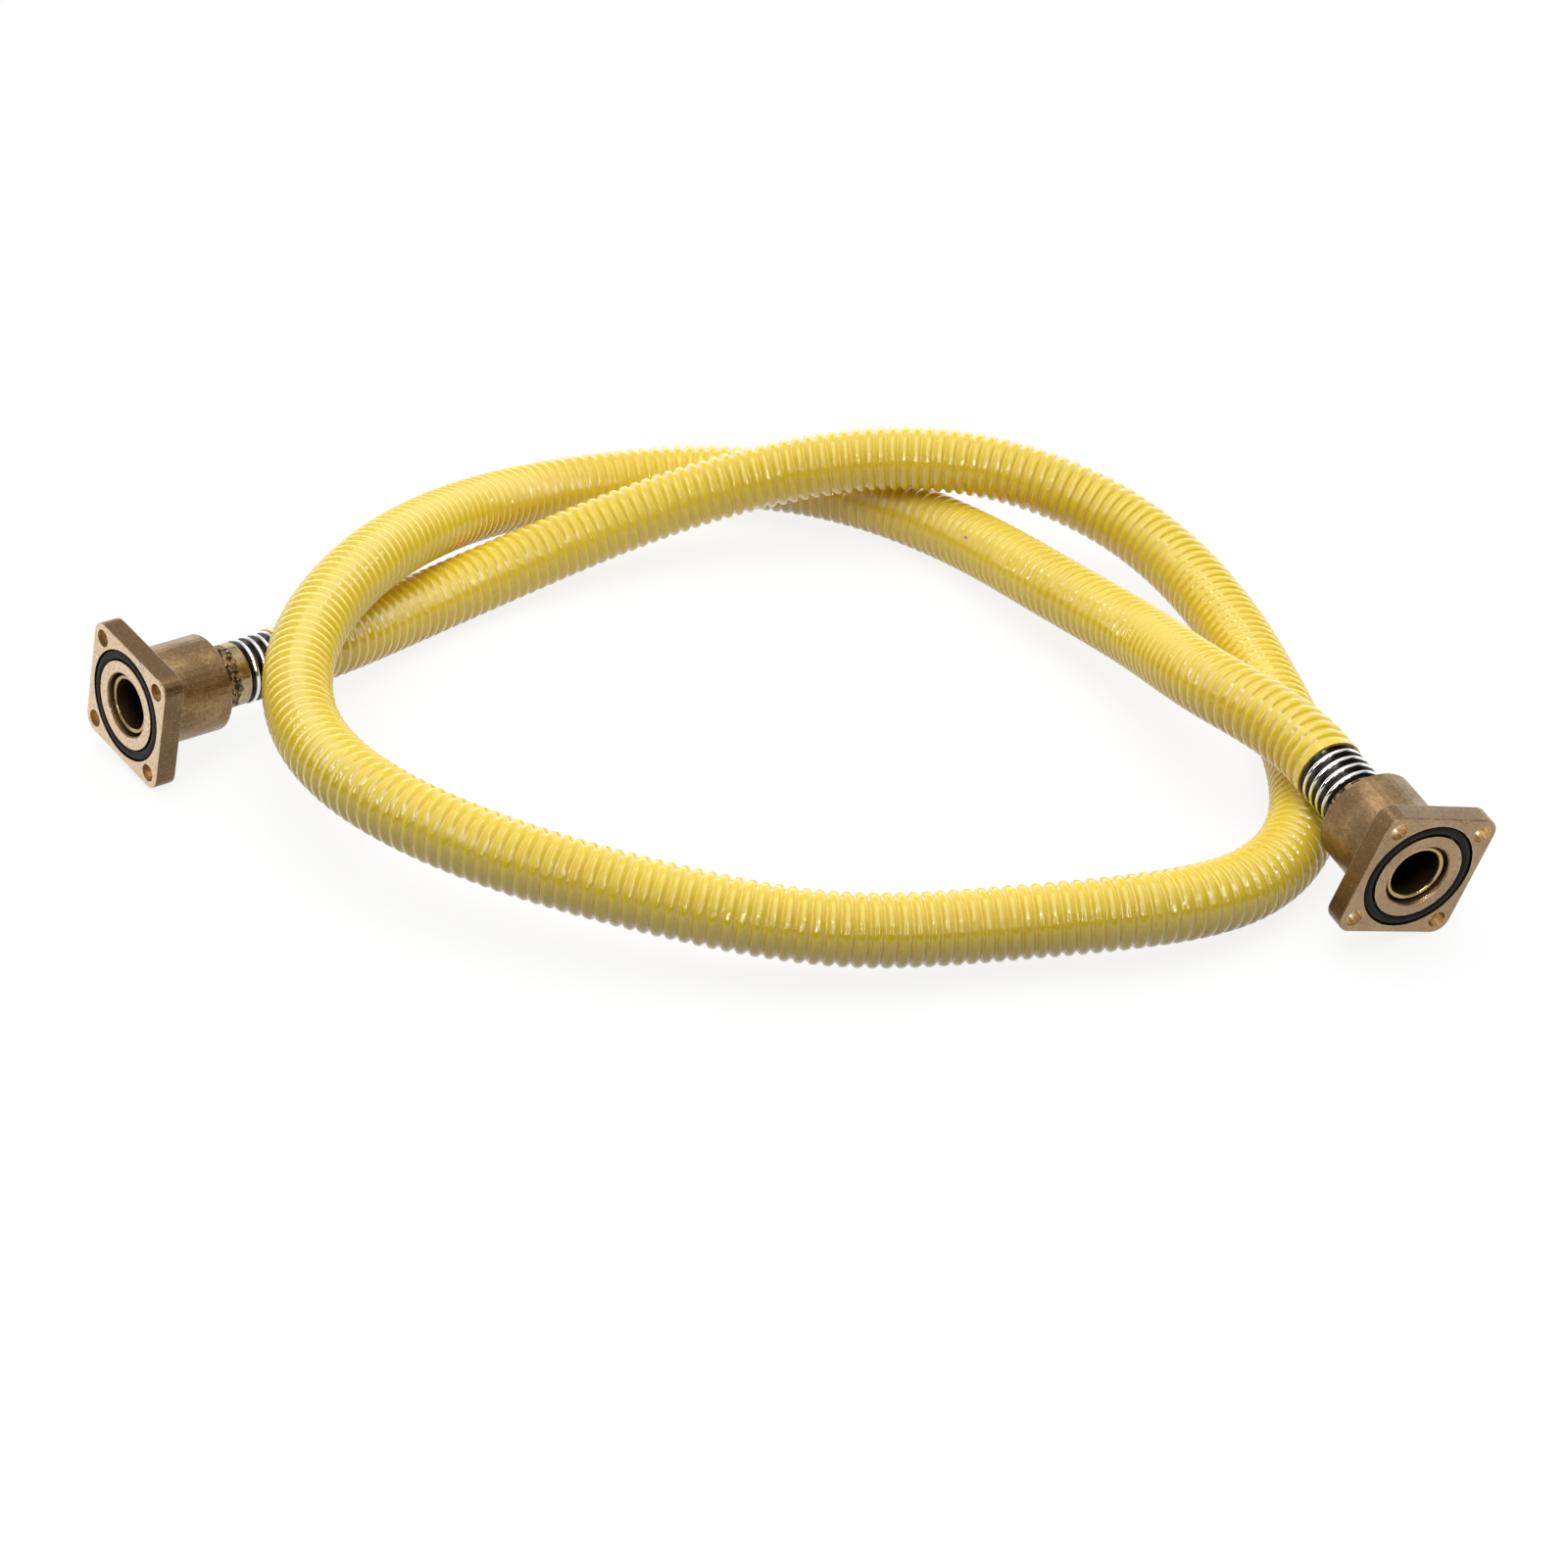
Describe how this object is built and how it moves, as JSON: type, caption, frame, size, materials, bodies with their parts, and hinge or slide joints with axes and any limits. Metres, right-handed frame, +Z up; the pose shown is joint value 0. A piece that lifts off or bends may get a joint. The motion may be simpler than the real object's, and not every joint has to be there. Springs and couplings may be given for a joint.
{
  "type": "corrugated hose",
  "caption": "Covered corrugated metal hose with a square flange fitting and rubber face seal at each end, lying in a loose loop and a half.",
  "frame": {"origin": "on the floor under the middle of the box that holds the two end fittings (flanges, seals and ferrules), the hose left out", "axes": "+Z up from the floor, +X from the inlet fitting towards the outlet fitting, +Y away from the picture's camera"},
  "size_m": [0.5237, 0.3953, 0.0605],
  "materials": {
    "yellow_plastic": "glossy, slightly translucent",
    "bronze": "cast and machined, dull tan brown",
    "black_rubber": "satin black",
    "brass": "polished, with a rough brown braze band",
    "steel": "bright stainless steel"
  },
  "bodies": {
    "root": {"hose_cover": "yellow_plastic", "inlet_flange": "bronze", "outlet_flange": "bronze", "inlet_o_ring": "black_rubber", "outlet_o_ring": "black_rubber", "inlet_ferrule": "brass", "outlet_ferrule": "brass", "inlet_hose_end": "steel", "outlet_hose_end": "steel"}
  },
  "joints": []
}
